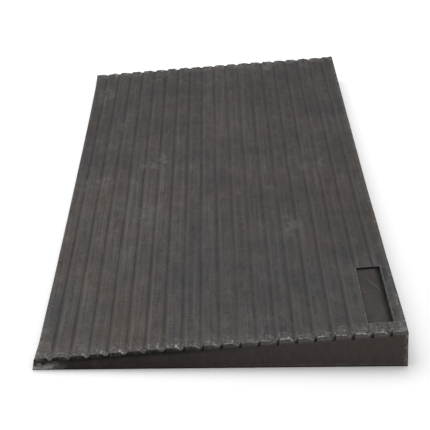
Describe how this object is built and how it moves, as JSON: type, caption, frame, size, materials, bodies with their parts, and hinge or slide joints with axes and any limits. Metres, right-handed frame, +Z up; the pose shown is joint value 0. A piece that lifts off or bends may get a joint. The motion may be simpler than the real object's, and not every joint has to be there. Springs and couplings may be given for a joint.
{
  "type": "portable wheelchair threshold ramp",
  "caption": "Low moulded rubber wedge laid against a step so that wheels can roll up it, with a ribbed tread, drafted sides and a shallow label pocket near one thick corner.",
  "frame": {"origin": "centre of the underside", "axes": "+X climbs from the thin toe edge to the thick heel edge, +Y runs along the ribs across the doorway, +Z is up; the label pocket is at the heel edge's -Y end"},
  "size_m": [0.4, 0.9, 0.0418],
  "materials": {
    "rubber": "matte, dusty and lightly scuffed, with paler worn rib edges",
    "label": "satin, with a scratch",
    "adhesive": "dull"
  },
  "bodies": {
    "root": {"ramp_body": "rubber", "label_plate": "label", "label_adhesive": "adhesive"}
  },
  "joints": []
}
